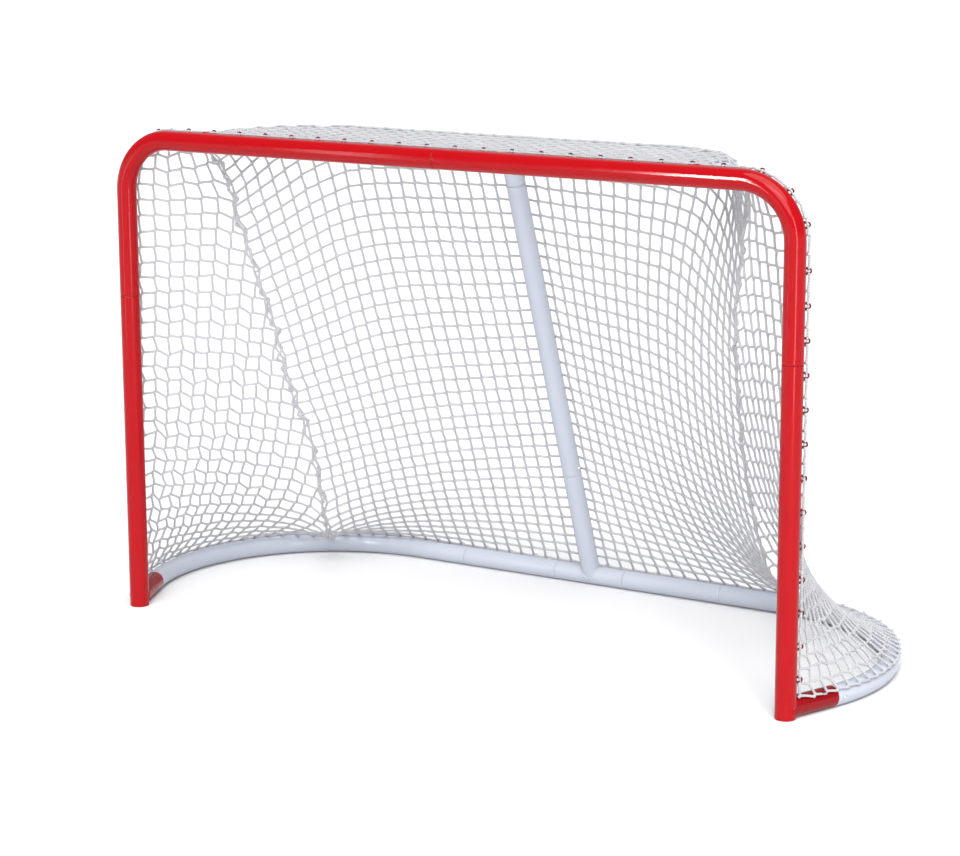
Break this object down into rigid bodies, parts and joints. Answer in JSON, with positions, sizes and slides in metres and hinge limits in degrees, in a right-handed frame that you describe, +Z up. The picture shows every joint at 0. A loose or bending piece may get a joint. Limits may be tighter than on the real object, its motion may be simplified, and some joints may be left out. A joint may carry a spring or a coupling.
{
  "type": "hockey goal net",
  "caption": "Free-standing steel ice hockey goal: red posts and crossbar, white tubular base, top shelf and rear brace, with a laced white cord net.",
  "frame": {"origin": "on the ice, under the middle of the goal's footprint", "axes": "+Z up, X along the crossbar, -Y out of the goal mouth towards the shooter, +Y towards the rear base tube"},
  "size_m": [2.1144, 0.8442, 1.2755],
  "materials": {
    "red_paint": "gloss",
    "white_paint": "gloss",
    "zinc_steel": "satin",
    "black_plastic": "matte",
    "net_cord": "matte"
  },
  "bodies": {
    "root": {"base_curve_left": "white_paint", "base_curve_right": "white_paint", "base_front_left_screw": "zinc_steel", "base_front_left_sleeve": "zinc_steel", "base_front_right_screw": "zinc_steel", "base_front_right_sleeve": "zinc_steel", "base_rear_left": "white_paint", "base_rear_left_screw": "zinc_steel", "base_rear_left_sleeve": "zinc_steel", "base_rear_right": "white_paint", "base_rear_right_screw": "zinc_steel", "base_rear_right_sleeve": "zinc_steel", "base_tee": "white_paint", "base_tee_left_screw": "zinc_steel", "base_tee_left_sleeve": "zinc_steel", "base_tee_right_screw": "zinc_steel", "base_tee_right_sleeve": "zinc_steel", "brace_lower_screw": "zinc_steel", "brace_lower_sleeve": "zinc_steel", "brace_tube": "white_paint", "brace_upper_screw": "zinc_steel", "brace_upper_sleeve": "zinc_steel", "corner_left": "red_paint", "corner_right": "red_paint", "crossbar_screw": "zinc_steel", "crossbar_sleeve": "zinc_steel", "foot_plug_left": "black_plastic", "foot_plug_right": "black_plastic", "net_main": "net_cord", "net_side_left": "net_cord", "net_side_right": "net_cord", "post_left_screw": "zinc_steel", "post_left_sleeve": "zinc_steel", "post_lower_left": "red_paint", "post_lower_right": "red_paint", "post_right_screw": "zinc_steel", "post_right_sleeve": "zinc_steel", "shelf_bend_left": "white_paint", "shelf_bend_right": "white_paint", "shelf_front_left_screw": "zinc_steel", "shelf_front_left_sleeve": "zinc_steel", "shelf_front_right_screw": "zinc_steel", "shelf_front_right_sleeve": "zinc_steel", "shelf_tee": "white_paint", "shelf_tee_left_screw": "zinc_steel", "shelf_tee_left_sleeve": "zinc_steel", "shelf_tee_right_screw": "zinc_steel", "shelf_tee_right_sleeve": "zinc_steel"}
  },
  "joints": []
}
